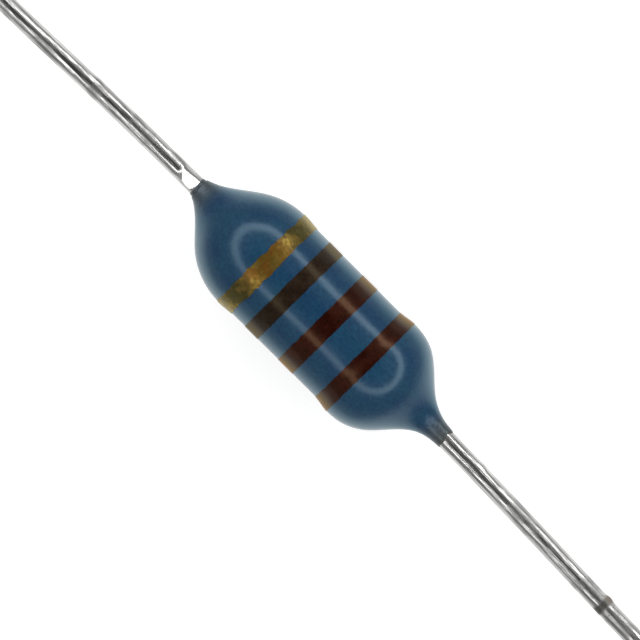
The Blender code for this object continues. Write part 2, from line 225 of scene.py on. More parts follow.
# %% Make the ring lamp
LAMP_HEIGHT = 1.2
LAMP_INNER_ANGLE = math.radians(41.8)
LAMP_OUTER_ANGLE = math.radians(54.0)
LAMP_LEAN = math.radians(7.8)
LAMP_STRENGTH = 3.1
LAMP_IMBALANCE = 0.25
STAGE_SIDES = 128


def deselect_all():
    """Lets an operator act only on what is selected or added after this."""
    bpy.ops.object.select_all(action="DESELECT")


inner_radius = LAMP_HEIGHT * math.tan(LAMP_INNER_ANGLE)
outer_radius = LAMP_HEIGHT * math.tan(LAMP_OUTER_ANGLE)
deselect_all()
bpy.ops.mesh.primitive_circle_add(
    vertices=STAGE_SIDES,
    radius=outer_radius,
    fill_type="NGON",
    location=(0.0, LAMP_HEIGHT * math.sin(LAMP_LEAN), LAMP_HEIGHT * math.cos(LAMP_LEAN)),
    rotation=(-LAMP_LEAN, 0.0, 0.0),
)
lamp = bpy.context.object
lamp.name = "ring_lamp"
bpy.ops.object.mode_set(mode="EDIT")
bpy.ops.mesh.inset(thickness=outer_radius - inner_radius)
bpy.ops.mesh.delete(type="FACE")
bpy.ops.object.mode_set(mode="OBJECT")

lamp_material, lamp_tree, lamp_shader = new_material("lamp_light")
across = axes(lamp_tree, object_place(lamp_tree))["Y"]
slope = LAMP_STRENGTH * LAMP_IMBALANCE / outer_radius
lamp_level = calculate(lamp_tree, "MULTIPLY_ADD", across, slope, LAMP_STRENGTH)
fill(lamp_tree, lamp_shader, {
    "Base Color": BLACK,
    "Emission Color": WHITE,
    "Emission Strength": lamp_level,
})
dress(lamp, lamp_material)
print("ring lamp radii:", round(inner_radius, 3), round(outer_radius, 3))

# %% [markdown]
# The black camera looks down from above and keeps the room's light from the top of every glossy
# curve. It is a plain disc that stands just over the lens, and it is hidden from the lens itself,
# so that a view from further up isn't blocked. The dark stripe along the middle of each lead is its
# reflection.

# %% Make the black camera
CAMERA_DISC_HEIGHT = 0.27
CAMERA_DISC_ANGLE = math.radians(20)
CAMERA_BLACK = rgb(0.02, 0.02, 0.02)
CAMERA_ROUGHNESS = 0.8

disc_radius = CAMERA_DISC_HEIGHT * math.tan(CAMERA_DISC_ANGLE)
deselect_all()
bpy.ops.mesh.primitive_circle_add(
    vertices=STAGE_SIDES,
    radius=disc_radius,
    fill_type="NGON",
    location=(0.0, 0.0, CAMERA_DISC_HEIGHT),
)
camera_disc = bpy.context.object
camera_disc.name = "black_camera"
camera_disc.visible_camera = False
disc_material, disc_tree, disc_shader = new_material("black_camera")
fill(disc_tree, disc_shader, {"Base Color": CAMERA_BLACK, "Roughness": CAMERA_ROUGHNESS})
dress(camera_disc, disc_material)
print("camera disc radius:", round(disc_radius, 3))

# %% [markdown]
# The room gives a soft grey light from all sides. The floor is pale paper. A macro photograph
# shows such paper as clean white, so rays from the camera, and rays mirrored by metal or gloss,
# see it a little brighter than the light alone makes it, while the soft shadow under the part
# stays. For mirrored rays this extra brightness is a painted pool of light: it fades out with the
# distance from the part's axis, so the part mirrors it only where the paper is close to it.

# %% Make the room light and the floor
ROOM_STRENGTH = 0.24
FLOOR_SIZE = 8.0
FLOOR_DROP = 0.00001
FLOOR_COLOUR = rgb(0.62, 0.62, 0.62)
FLOOR_LIFT = 0.70
# Where the painted pool of light on the paper starts to fade and is gone, from the part's axis
PAINTED_POOL_START = 0.0035
PAINTED_POOL_END = 0.0125

room = bpy.data.worlds.new("room")
room.use_nodes = True
room_light = room.node_tree.nodes["Background"]
fill(room.node_tree, room_light, {"Color": WHITE, "Strength": ROOM_STRENGTH})
bpy.context.scene.world = room

deselect_all()
bpy.ops.mesh.primitive_plane_add(size=FLOOR_SIZE, location=(0.0, 0.0, -FLOOR_DROP))
floor = bpy.context.object
floor.name = "paper_floor"
floor_material, floor_tree, floor_shader = new_material("pale_paper")
rays = add_node(floor_tree, "LightPath").outputs
beside = calculate(floor_tree, "ABSOLUTE", axes(floor_tree, object_place(floor_tree))["Y"])
# Painted pool of light: mirrored rays see the paper's glow fade out away from the part
painted_pool = remap(floor_tree, beside, PAINTED_POOL_START, PAINTED_POOL_END, 1.0, 0.0)
seen = calculate(floor_tree, "MULTIPLY_ADD", rays["Is Glossy Ray"], painted_pool, rays["Is Camera Ray"])
seen = calculate(floor_tree, "ADD", seen, rays["Is Transmission Ray"])
fill(floor_tree, floor_shader, {
    "Base Color": FLOOR_COLOUR,
    "Roughness": 1.0,
    "Specular IOR Level": 0.0,
    "Emission Color": WHITE,
    "Emission Strength": calculate(floor_tree, "MULTIPLY", seen, FLOOR_LIFT),
})
dress(floor, floor_material)
print("floor and room light are in place")

# %% [markdown]
# ## The line that everything follows
#
# Hanging in the dip, the coat drew out along leads that weren't quite straight, so its two necks
# lean a little to one side, the body is turned slightly against them, and each lead bows back. The
# left lead is also cranked down where it leaves the coat. Two short functions, sideways and
# upwards, give this line for any place along X. Every ring of the coat and every point of a lead is
# put on it, so they stay together.

# %% Define the line of the leads
# The body's turn, as metres sideways for each metre along
BODY_TURN = 0.0065

# Each neck leans by LEAN over LEAN_LENGTH, and its last LEAN_REST already runs with the lead
LEAN = {LEFT: 0.000140, RIGHT: 0.000128}
LEAN_LENGTH = {LEFT: 0.00162, RIGHT: 0.00145}
LEAN_REST = {LEFT: 0.0001, RIGHT: 0.0007}

# Each lead bows back as far as the tape, which held its last stretch straight
BOW = {LEFT: 0.000165, RIGHT: 0.000105}
TAPED_LENGTH = 0.0060

# The crank runs down at a slope between two bends. The far bend is a soft one, because a tube that
# bends more tightly than its own radius folds over itself.
CRANK_SLOPE = {LEFT: 0.445, RIGHT: 0.0}
CRANK_LENGTH = 0.00089
NEAR_BEND = 0.00010
FAR_BEND = 0.00028


def smooth_step(share):
    """Rises from 0 to 1 with level ends."""
    share = min(max(share, 0.0), 1.0)
    return share * share * (3 - 2 * share)


def side_of(x):
    """The side of the part that x is on."""
    return LEFT if x < 0 else RIGHT


def share_of_bow(x):
    """How far x is along the bowed stretch of its lead, from 0 at the coat to 1 at the tape."""
    end = COAT_ENDS[side_of(x)]
    return min(max((abs(x) - end) / (LEAD_TIP - TAPED_LENGTH - end), 0.0), 1.0)


def sideways(x):
    """How far the line stands off the axis, towards +Y."""
    side = side_of(x)
    outside = abs(x) - COAT_ENDS[side]
    if outside <= 0:
        lean = smooth_step(1 + (outside + LEAN_REST[side]) / LEAN_LENGTH[side])
        return BODY_TURN * x * (1 - lean) + LEAN[side] * lean
    share = share_of_bow(x)
    return LEAN[side] * (1 - share) ** 2 - BOW[side] * math.sin(math.pi * share) ** 3


def crank_run(outside):
    """How far along its slope a crank is at a distance outside the coat, with two short bends."""
    outside = min(max(outside, 0.0), CRANK_LENGTH)
    if outside < NEAR_BEND:
        return outside**2 / (2 * NEAR_BEND)
    if outside > CRANK_LENGTH - FAR_BEND:
        full_run = CRANK_LENGTH - (NEAR_BEND + FAR_BEND) / 2
        return full_run - (CRANK_LENGTH - outside) ** 2 / (2 * FAR_BEND)
    return outside - NEAR_BEND / 2


def upwards(x):
    """How far the line stands over the axis."""
    side = side_of(x)
    drop = CRANK_SLOPE[side] * crank_run(abs(x) - COAT_ENDS[side])
    return -drop * (1 - smooth_step(share_of_bow(x)))


end_leans = [sideways(side * COAT_ENDS[side]) for side in (LEFT, RIGHT)]
print("lean at the coat's ends in millimetres:", in_millimetres(end_leans))

# %% [markdown]
# ## Coat of epoxy
#
# The coat is one dip of epoxy over the wound drum. It is thin in the middle, stands a little
# higher over each flange, and draws out along the leads into two necks. A lathe shape fits it, but
# the necks lean, so it isn't spun: a circle is extruded ring by ring, and each new ring is moved to
# its place on the line and scaled to its radius. The outline is a level waist, a swell up to each
# flange and one Bezier curve for each shoulder and neck.

# %% Define the outline of the coat
WAIST_RADIUS = 0.001999
WIDEST_RADIUS = {LEFT: 0.002049, RIGHT: 0.002078}
FLANGE_THICKNESS = 0.0009
SWELL_LENGTH = 0.00065

# The handles of each taper's curve: how far they reach, and how steep the neck is
SHOULDER = {LEFT: 0.00190, RIGHT: 0.00184}
NECK = {LEFT: 0.00114, RIGHT: 0.00174}
NECK_SLOPE = {LEFT: 0.26, RIGHT: 0.0}

# The film on the lead, which rounds off to a thinner edge
FILM_RADIUS = 0.00036
FILM_EDGE_RADIUS = 0.000333
FILM_EDGE_LENGTH = 0.00012

# Rings in each stretch of the outline
WAIST_STEPS = 40
SWELL_STEPS = 10
TAPER_STEPS = 50
FILM_EDGE_STEPS = 4

FLANGE_MIDDLE = DRUM_END - FLANGE_THICKNESS / 2
SWELL_START = FLANGE_MIDDLE - SWELL_LENGTH


def swell(side):
    """The outline between the waist and the widest ring, as (x, radius)."""
    rise = WIDEST_RADIUS[side] - WAIST_RADIUS
    shares = [step / SWELL_STEPS for step in range(SWELL_STEPS)]
    return [
        (side * (SWELL_START + SWELL_LENGTH * share), WAIST_RADIUS + rise * smooth_step(share))
        for share in shares
    ]


def taper(side):
    """The outline from the widest ring down to the film on the lead: one Bezier curve."""
    widest = WIDEST_RADIUS[side]
    end = COAT_ENDS[side]
    shoulder = (FLANGE_MIDDLE + SHOULDER[side], widest)
    neck = (end - NECK[side], FILM_RADIUS + NECK_SLOPE[side] * NECK[side])
    handles = ((FLANGE_MIDDLE, widest), shoulder, neck, (end, FILM_RADIUS))
    outline = []
    for step in range(TAPER_STEPS):
        share = step / TAPER_STEPS
        rest = 1 - share
        weights = (rest**3, 3 * rest * rest * share, 3 * rest * share * share, share**3)
        x = sum(weight * handle[0] for weight, handle in zip(weights, handles))
        radius = sum(weight * handle[1] for weight, handle in zip(weights, handles))
        if x < end - FILM_EDGE_LENGTH:
            outline.append((side * x, radius))
    for step in range(FILM_EDGE_STEPS + 1):
        share = step / FILM_EDGE_STEPS
        x = end - FILM_EDGE_LENGTH * (1 - share)
        outline.append((side * x, FILM_RADIUS - (FILM_RADIUS - FILM_EDGE_RADIUS) * share**2))
    return outline


def waist():
    """The level stretch between the two swells."""
    gap = 2 * SWELL_START / WAIST_STEPS
    return [(-SWELL_START + gap * step, WAIST_RADIUS) for step in range(1, WAIST_STEPS)]


left_half = swell(LEFT) + taper(LEFT)
COAT_OUTLINE = left_half[::-1] + waist() + swell(RIGHT) + taper(RIGHT)
print("rings on the outside of the coat:", len(COAT_OUTLINE))

# %% [markdown]
# The inside of the coat is where the drum, the wire, the solder and the leads are. The same
# extrusion goes on round the end of the film and back through this hollow to the first ring, so
# the coat becomes one closed body with a real wall. The hollow keeps a hair's clearance from what
# lies in it, and only the film's edge closes on the lead.

# %% Model the coat
COAT_SIDES = 192
MERGE_DISTANCE = 0.0000001

# An edge that is sharper than this stays sharp when the rest is shaded smooth
COAT_CREASE = math.radians(40)

# The clearance to what lies inside, and the gap where the film's edge closes on the lead
FIT = 0.00002
TOUCH = 0.000001
LEAD_RADIUS = 0.000325
COIL_RADIUS = 0.001569
BORE_RADIUS = LEAD_RADIUS + FIT
NECK_RINGS = 16

# Between the flanges the hollow follows the coil, and beyond this x it is as wide as the wire's tails
COIL_END = DRUM_END - FLANGE_THICKNESS - 3 * FIT
COIL_HOLLOW_RADIUS = COIL_RADIUS + 2 * FIT


def hollow(side):
    """The inside of the coat from its middle to the end of one neck, as (x, radius)."""
    corners = [
        (COIL_END, COIL_HOLLOW_RADIUS),
        (COIL_END, WIRE_REACH + FIT),
        (SOLDER_START + FIT, WIRE_REACH + FIT),
        (SOLDER_START + FIT, SOLDER_RADIUS + FIT),
        (WIRE_END + FIT, SOLDER_RADIUS + FIT),
        (SOLDER_END + FIT, BORE_RADIUS),
    ]
    run = COAT_ENDS[side] - SOLDER_END - FIT
    shares = [ring / NECK_RINGS for ring in range(1, NECK_RINGS)]
    corners += [(SOLDER_END + FIT + run * share, BORE_RADIUS) for share in shares]
    corners.append((COAT_ENDS[side], LEAD_RADIUS + TOUCH))
    return [(side * x, radius) for x, radius in corners]


def draw_out(name, stations, sides):
    """A tube extruded ring by ring through stations of (x, radius), each ring on the line."""
    x, radius = stations[0]
    deselect_all()
    bpy.ops.mesh.primitive_circle_add(
        vertices=sides,
        radius=radius,
        location=(x, sideways(x), AXIS_HEIGHT),
        rotation=(0.0, math.pi / 2, 0.0),
    )
    piece = bpy.context.object
    piece.name = name
    bpy.ops.object.transform_apply(location=True, rotation=True, scale=True)
    bpy.ops.object.mode_set(mode="EDIT")
    for next_x, next_radius in stations[1:]:
        step = (next_x - x, sideways(next_x) - sideways(x), 0.0)
        growth = next_radius / radius
        centre = (next_x, sideways(next_x), AXIS_HEIGHT)
        bpy.ops.mesh.extrude_region_move(TRANSFORM_OT_translate={"value": step})
        bpy.ops.transform.resize(value=(1.0, growth, growth), center_override=centre)
        x, radius = next_x, next_radius
    bpy.ops.mesh.select_all(action="SELECT")
    bpy.ops.mesh.remove_doubles(threshold=MERGE_DISTANCE)
    bpy.ops.mesh.normals_make_consistent(inside=False)
    bpy.ops.object.mode_set(mode="OBJECT")
    return piece


inside = hollow(LEFT)[::-1] + hollow(RIGHT)
coat = draw_out("coat_of_epoxy", COAT_OUTLINE + inside[::-1] + COAT_OUTLINE[:1], COAT_SIDES)
bpy.ops.object.shade_smooth_by_angle(angle=COAT_CREASE)
print("coat:", len(coat.data.polygons), "faces")

# %% [markdown]
# A dipped coat is never quite even. A weak Displace with a soft cloud texture gives it waves a
# hundredth of a millimetre high, which is enough to make the lamp's reflection waver. Another one
# pulls the edge of the film on each lead to and fro. Each works through a vertex group whose
# weights fade out, so that neither leaves a step.

# %% Let the coat waver
WAVE_LENGTH = 0.0011
WAVE_HEIGHT = 0.000018
WAVE_FADE = 0.0012
EDGE_WAVE_LENGTH = 0.0005
EDGE_WAVE_HEIGHT = {LEFT: 0.00010, RIGHT: 0.00040}
EDGE_FADE = 0.0006


def cloud_texture(name, size, depth=0):
    """A soft noise for Displace; a greater depth adds finer noise to it."""
    texture = bpy.data.textures.new(name, "CLOUDS")
    texture.noise_scale = size
    texture.noise_depth = depth
    return texture


def apply_modifier(piece, modifier):
    """Makes a modifier's result the mesh itself."""
    deselect_all()
    piece.select_set(True)
    bpy.context.view_layer.objects.active = piece
    bpy.ops.object.modifier_apply(modifier=modifier.name)


def displace(piece, texture, strength, direction, group=""):
    """Moves a piece's points by a cloud texture that is laid out in space."""
    modifier = piece.modifiers.new("displace", "DISPLACE")
    modifier.texture = texture
    modifier.texture_coords = "LOCAL"
    modifier.direction = direction
    modifier.strength = strength
    modifier.mid_level = 0.5
    modifier.vertex_group = group
    apply_modifier(piece, modifier)


def weigh(piece, name, weight_at):
    """A vertex group whose weight at each point follows from the point's x."""
    group = piece.vertex_groups.new(name=name)
    for vertex in piece.data.vertices:
        group.add([vertex.index], weight_at(vertex.co.x), "REPLACE")
    return group.name


def weight_of_body(x):
    """1 on the body, fading to 0 along each shoulder."""
    side = side_of(x)
    return smooth_step((FLANGE_MIDDLE + SHOULDER[side] - abs(x)) / WAVE_FADE)


def weight_of_film_edge(side):
    """1 at one end of the coat, fading to 0 along its neck, as a function of x."""
    return lambda x: smooth_step(1 + (side * x - COAT_ENDS[side]) / EDGE_FADE)


coat_waves = cloud_texture("coat_waves", WAVE_LENGTH)
displace(coat, coat_waves, WAVE_HEIGHT, "NORMAL", weigh(coat, "body", weight_of_body))
edge_waves = cloud_texture("edge_waves", EDGE_WAVE_LENGTH)
for side, height in EDGE_WAVE_HEIGHT.items():
    film_edge = weigh(coat, "film_edge", weight_of_film_edge(side))
    displace(coat, edge_waves, height, "X", film_edge)
coat.vertex_groups.clear()
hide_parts("epoxy_coat")
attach(coat, "root")
print("coat in millimetres:", in_millimetres(coat.dimensions))

# %% [markdown]
# ## Rings of ink
#
# Each ring is printed by a wheel that rolls round the part, so it is about a hundredth of a
# millimetre thick and its edges are a little ragged. A strip is drawn out a hair above the coat.
# Its two edge rings are moved to and fro by a cloud texture, Shrinkwrap lays the strip on the
# coat, and Solidify gives the ink its thickness. The metallic ink of the gold ring is coarser than
# the others, so its edges are rougher.

# %% Model the rings of ink
INK_THICKNESS = 0.000009
INK_GAP = 0.000003
INK_SIDES = 256
INK_STEPS = 9
INK_CREASE = math.radians(60)
STRIP_LIFT = 0.00002

# The size and the height of the waves in a ragged edge, and how fine their noise is
FINE_EDGE = (0.00022, 0.00005)
COARSE_EDGE = (0.00030, 0.00015)
EDGE_DETAIL = 2

# The middle, the width and the raggedness of each ring, by the name of the node that it replaces
INK_RINGS = {
    "gold_band": (-0.00235, 0.00064, COARSE_EDGE),
    "black_band": (-0.00111, 0.00061, FINE_EDGE),
    "red_band_1": (0.00049, 0.00068, FINE_EDGE),
    "red_band_2": (0.00222, 0.00060, FINE_EDGE),
}


def coat_radius(x):
    """The coat's radius at x, on the straight line between two rings."""
    for (x_a, radius_a), (x_b, radius_b) in zip(COAT_OUTLINE, COAT_OUTLINE[1:]):
        if x_a <= x <= x_b:
            return radius_a + (radius_b - radius_a) * (x - x_a) / (x_b - x_a)
    return FILM_RADIUS


def ink_strip(name, middle, width):
    """An open strip a hair above the coat."""
    places = [middle + width * (step / INK_STEPS - 0.5) for step in range(INK_STEPS + 1)]
    stations = [(x, coat_radius(x) + STRIP_LIFT) for x in places]
    return draw_out(name, stations, INK_SIDES)


def ragged_edges(strip, middle, width, edge):
    """Moves the strip's two edge rings to and fro along X."""
    size, strength = edge
    texture = cloud_texture(strip.name + "_edge", size, EDGE_DETAIL)
    half = width / 2
    hair = width / INK_STEPS / 2
    edge_group = weigh(strip, "edges", lambda x: float(abs(x - middle) > half - hair))
    displace(strip, texture, strength, "X", edge_group)
    strip.vertex_groups.clear()


def lay_on_coat(strip):
    """Wraps the strip onto the coat and gives the ink its thickness."""
    wrap = strip.modifiers.new("wrap", "SHRINKWRAP")
    wrap.target = coat
    wrap.wrap_method = "NEAREST_SURFACEPOINT"
    wrap.wrap_mode = "ABOVE_SURFACE"
    wrap.offset = INK_GAP
    apply_modifier(strip, wrap)
    ink = strip.modifiers.new("ink", "SOLIDIFY")
    ink.thickness = INK_THICKNESS
    ink.offset = 1.0
    apply_modifier(strip, ink)


ink_pieces = {}
for node, (middle, width, edge) in INK_RINGS.items():
    strip = ink_strip("printed_" + node, middle, width)
    ragged_edges(strip, middle, width, edge)
    lay_on_coat(strip)
    bpy.ops.object.shade_smooth_by_angle(angle=INK_CREASE)
    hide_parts(node)
    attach(strip, "root")
    ink_pieces[node] = strip
    print(strip.name, "faces:", len(strip.data.polygons))

# %% [markdown]
# ## Tinned leads
#
# A lead is copper-clad wire with a skin of tin, cut off a reel. A round wire is a path with a round
# bevel, so a curve is the right start: it keeps the wire's section square to its line through the
# crank. It is then made a mesh, because the marks on it are modelled one by one. Each of its two
# ends is closed by one face, and the cut end that shows gets a fine bevel.

# %% Draw the leads
LEAD_NODES = {LEFT: "lead_left", RIGHT: "lead_right"}
LEAD_STEP = 0.00005
LEAD_ROUNDNESS = 14
CUT_EDGE = 0.00003
CUT_EDGE_STEPS = 2


def wire_path(name, side):
    """A lead as a path with a round bevel, from its hole in the drum to its tip."""
    deselect_all()
    bpy.ops.curve.primitive_nurbs_path_add(location=(0.0, 0.0, 0.0))
    path = bpy.context.object
    path.name = name
    steps = round((LEAD_TIP - LEAD_START) / LEAD_STEP)
    spline = path.data.splines[0]
    spline.type = "POLY"
    spline.points.add(steps + 1 - len(spline.points))
    for index, point in enumerate(spline.points):
        x = side * (LEAD_START + (LEAD_TIP - LEAD_START) * index / steps)
        point.co = (x, sideways(x), AXIS_HEIGHT + upwards(x), 1.0)
        point.radius = 1.0
    path.data.bevel_depth = LEAD_RADIUS
    path.data.bevel_resolution = LEAD_ROUNDNESS
    return path


def select_points(piece, chosen):
    """Selects the points of a mesh for which chosen(place) is true, and goes to edit mode."""
    bpy.ops.object.mode_set(mode="EDIT")
    bpy.ops.mesh.select_mode(type="VERT")
    bpy.ops.mesh.select_all(action="DESELECT")
    bpy.ops.object.mode_set(mode="OBJECT")
    for vertex in piece.data.vertices:
        vertex.select = chosen(vertex.co)
    bpy.ops.object.mode_set(mode="EDIT")


def close_ends(lead, side):
    """Fills both ends of the tube with one face each and bevels the cut end."""
    for end in (LEAD_START, LEAD_TIP):
        select_points(lead, lambda place: abs(side * place.x - end) < LEAD_STEP / 2)
        bpy.ops.mesh.edge_face_add()
        bpy.ops.object.mode_set(mode="OBJECT")
    select_points(lead, lambda place: True)
    bpy.ops.mesh.normals_make_consistent(inside=False)
    bpy.ops.object.mode_set(mode="OBJECT")
    select_points(lead, lambda place: side * place.x > LEAD_TIP - MERGE_DISTANCE)
    bpy.ops.mesh.bevel(offset=CUT_EDGE, segments=CUT_EDGE_STEPS)
    bpy.ops.object.mode_set(mode="OBJECT")


leads = {}
for side, node in LEAD_NODES.items():
    lead = wire_path("tinned_" + node, side)
    bpy.ops.object.convert(target="MESH")
    close_ends(lead, side)
    leads[side] = lead
    print(lead.name, "faces:", len(lead.data.polygons))

# %% [markdown]
# The jaws that bent the crank pressed a flat into the top of it, which shines white in the picture.
# A Boolean cuts it with the corner of a block. The block's lower face is the flat, so it faces the
# way that the flat does, and it is turned about this direction so that the flat begins in a point.

# %% Press the flat on the crank
# How far outside the coat the flat ends, its depth, the block that cuts it, and how it lies
FLAT_END = 0.00069
FLAT_DEPTH = 0.000004
FLAT_BLOCK = 0.0012
FLAT_TURN = math.radians(45)
FLAT_FACING = Vector((-0.318, -0.160, 0.934)).normalized()


def press_flat(lead):
    """Cuts the flat into the left lead, and deletes the block that cut it."""
    x = -COAT_ENDS[LEFT] - FLAT_END
    top = Vector((x, sideways(x), AXIS_HEIGHT + upwards(x) + LEAD_RADIUS - FLAT_DEPTH))
    along = Vector((FLAT_FACING.z, 0.0, -FLAT_FACING.x)).normalized()
    along.rotate(Quaternion(FLAT_FACING, FLAT_TURN))
    turned = Matrix((along, FLAT_FACING.cross(along), FLAT_FACING)).transposed()
    deselect_all()
    bpy.ops.mesh.primitive_cube_add(
        size=FLAT_BLOCK,
        location=top + (along + FLAT_FACING) * FLAT_BLOCK / 2,
        rotation=turned.to_euler(),
    )
    block = bpy.context.object
    cut = lead.modifiers.new("flat", "BOOLEAN")
    cut.operation = "DIFFERENCE"
    cut.object = block
    apply_modifier(lead, cut)
    deselect_all()
    block.select_set(True)
    bpy.ops.object.delete()


press_flat(leads[LEFT])
print("faces with the flat:", len(leads[LEFT].data.polygons))

# %% [markdown]
# The tin isn't even either. It has small lumps and dents, and the right lead has a nick with a
# burr, near the end of what the picture shows. A soft proportional pull on one point of the mesh
# makes each of them.

# %% Raise the lumps of tin
NICK_AT = COAT_ENDS[RIGHT] + 0.00768
LEAD_CREASE = math.radians(30)


def pull(lead, x, towards, height, reach_of_pull):
    """Pulls the wire's surface out at x on the side that faces a direction."""
    direction = Vector(towards).normalized()
    target = Vector((x, sideways(x), AXIS_HEIGHT + upwards(x))) + direction * LEAD_RADIUS
    nearest = min(lead.data.vertices, key=lambda vertex: (vertex.co - target).length).co.copy()
    deselect_all()
    bpy.context.view_layer.objects.active = lead
    lead.select_set(True)
    select_points(lead, lambda place: (place - nearest).length < MERGE_DISTANCE)
    bpy.ops.transform.translate(
        value=direction * height,
        use_proportional_edit=True,
        proportional_edit_falloff="SMOOTH",
        proportional_size=reach_of_pull,
    )
    bpy.ops.object.mode_set(mode="OBJECT")


# Lumps and dents of tin on each lead: place along X, direction, height and reach
TIN_MARKS = {
    LEFT: [
        (-0.01068, (0.0, 1.0, 0.3), 0.00003, 0.00035),
        (-0.00918, (0.0, -0.4, 1.0), -0.000015, 0.00045),
        (-0.01346, (0.0, 0.2, 1.0), 0.00001, 0.00030),
        (-0.01820, (0.0, -1.0, 0.4), 0.00002, 0.00040),
        (-0.02410, (0.0, 0.6, 1.0), -0.000012, 0.00050),
    ],
    RIGHT: [
        (0.00750, (0.0, 1.0, 0.4), 0.000028, 0.00030),
        (NICK_AT, (0.0, 1.0, 0.3), 0.000045, 0.00026),
        (0.00723, (0.0, -0.5, 1.0), -0.000012, 0.00040),
        (0.00992, (0.0, 0.3, 1.0), 0.000012, 0.00035),
        (0.02150, (0.0, -1.0, 0.5), 0.00002, 0.00040),
    ],
}

for side, lead in leads.items():
    for mark in TIN_MARKS[side]:
        pull(lead, *mark)
    bpy.ops.object.shade_smooth_by_angle(angle=LEAD_CREASE)
    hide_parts(LEAD_NODES[side])
    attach(lead, "root")
    print(lead.name, "in millimetres:", in_millimetres(lead.dimensions))

# %% [markdown]
# ## Effects that several finishes share
#
# Real surfaces are never one flat colour. Two node groups hold what the finishes have in common:
# soft mottling, which is a cloud of lighter and darker shade, and specks, which are small scattered
# dots. Each is built once, and each finish gives it values of its own.

# %% Build the shared node groups
# Nearly all of a noise's values lie in this range
NOISE_RANGE = (0.3, 0.7)


def new_group(name, inputs, outputs):
    """A node group with sockets of (name, kind, value), and its input and output sockets."""
    group = bpy.data.node_groups.new(name, "ShaderNodeTree")
    for label, kind, value in inputs:
        socket = group.interface.new_socket(label, in_out="INPUT", socket_type="NodeSocket" + kind)
        if value is not None:
            socket.default_value = value
    for label, kind in outputs:
        group.interface.new_socket(label, in_out="OUTPUT", socket_type="NodeSocket" + kind)
    source = group.nodes.new("NodeGroupInput").outputs
    target = group.nodes.new("NodeGroupOutput").inputs
    return group, source, target


def make_mottle_group():
    """Soft clouds: a shade that multiplies a colour, and a height for a bump."""
    group, source, target = new_group(
        "Mottle",
        [
            ("Vector", "Vector", None),
            ("Per Millimetre", "Float", 1.0),
            ("Detail", "Float", 4.0),
            ("Darkest", "Float", 0.0),
            ("Lightest", "Float", 1.0),
        ],
        [("Shade", "Float"), ("Height", "Float")],
    )
    clouds = add_node(group, "TexNoise", {
        "Vector": source["Vector"],
        "Scale": source["Per Millimetre"],
        "Detail": source["Detail"],
    })
    shade = remap(group, clouds.outputs[0], *NOISE_RANGE, source["Darkest"], source["Lightest"])
    group.links.new(shade, target["Shade"])
    group.links.new(clouds.outputs[0], target["Height"])
    return group


def make_speck_group():
    """Small round dots on a share of the cells of a surface, as a mask."""
    group, source, target = new_group(
        "Specks",
        [
            ("Vector", "Vector", None),
            ("Per Millimetre", "Float", 3.0),
            ("Share", "Float", 0.2),
            ("Size", "Float", 0.2),
        ],
        [("Mask", "Float")],
    )
    cells = add_node(group, "TexVoronoi", {
        "Vector": source["Vector"],
        "Scale": source["Per Millimetre"],
    })
    chance = add_node(group, "SeparateColor", {0: cells.outputs["Color"]}).outputs[0]
    chosen = calculate(group, "LESS_THAN", chance, source["Share"])
    dot = remap(group, cells.outputs["Distance"], 0.0, source["Size"], 1.0, 0.0)
    group.links.new(calculate(group, "MULTIPLY", chosen, dot), target["Mask"])
    return group


MOTTLE = make_mottle_group()
SPECKS = make_speck_group()
print("node groups:", [group.name for group in bpy.data.node_groups])

# %% [markdown]
# Every pattern is laid out in space, by a place in millimetres from the part's axis. The sizes in
# the finishes below are then real ones, and a pattern runs on from one side of a piece to the other
# without a seam.

# %% Define how a finish uses the groups
def place_in_millimetres(tree, stretch=(1.0, 1.0, 1.0)):
    """The place in millimetres from the part's axis, stretched for a drawn grain."""
    scale = [MILLIMETRES * factor for factor in stretch]
    shift = (0.0, 0.0, -AXIS_HEIGHT * scale[2])
    sockets = {"Vector": object_place(tree), "Scale": scale, "Location": shift}
    return add_node(tree, "Mapping", sockets).outputs[0]


def mottle(tree, place, per_millimetre, darkest=0.0, lightest=1.0, detail=4.0):
    """Soft clouds as the sockets Shade, from darkest to lightest, and Height."""
    sockets = {
        "Vector": place,
        "Per Millimetre": per_millimetre,
        "Detail": detail,
        "Darkest": darkest,
        "Lightest": lightest,
    }
    return add_node(tree, "Group", sockets, node_tree=MOTTLE).outputs


def specks(tree, place, per_millimetre, share, size):
    """A mask of small dots."""
    sockets = {"Vector": place, "Per Millimetre": per_millimetre, "Share": share, "Size": size}
    return add_node(tree, "Group", sockets, node_tree=SPECKS).outputs["Mask"]


def bump(tree, height, strength, depth):
    """The normal of a bumpy surface; depth is in metres."""
    sockets = {"Height": height, "Strength": strength, "Distance": depth}
    return add_node(tree, "Bump", sockets).outputs[0]


print("patterns are laid out at", MILLIMETRES, "millimetres to the metre")

# %% [markdown]
# ## Finish of the epoxy
#
# The epoxy is dark blue and glossy. Its pigment is slightly cloudy, and a few specks of dust sit in
# it. Where it is seen edge on, a paler blue is painted in as a painted reflection. Where it thins out
# to a film on the lead, the grey metal shows through and the film is wrinkled, so the colour is
# carried to grey, and a finer grain joins the bump, by the distance from the middle of the part.
# The film's edge on the right lead is darker still. Ripples and tiny pits are the rest of the bump.

# %% Make the blue epoxy
BLUE = rgb(0.0130, 0.054, 0.124)
CLOUDY_BLUE = rgb(0.0165, 0.070, 0.134)
PAINTED_REFLECTION_BLUE = rgb(0.030, 0.145, 0.215)
FILM_GREY = rgb(0.090, 0.101, 0.108)
FILM_EDGE_GREY = rgb(0.085, 0.083, 0.066)
DUST = rgb(0.10, 0.14, 0.16)
BLUE_GLOSS_TINT = rgb(0.68, 0.89, 1.0)

# How far a surface has turned away from the eye where its painted reflection starts and is full
PAINTED_REFLECTION_RIM = (0.28, 0.76)

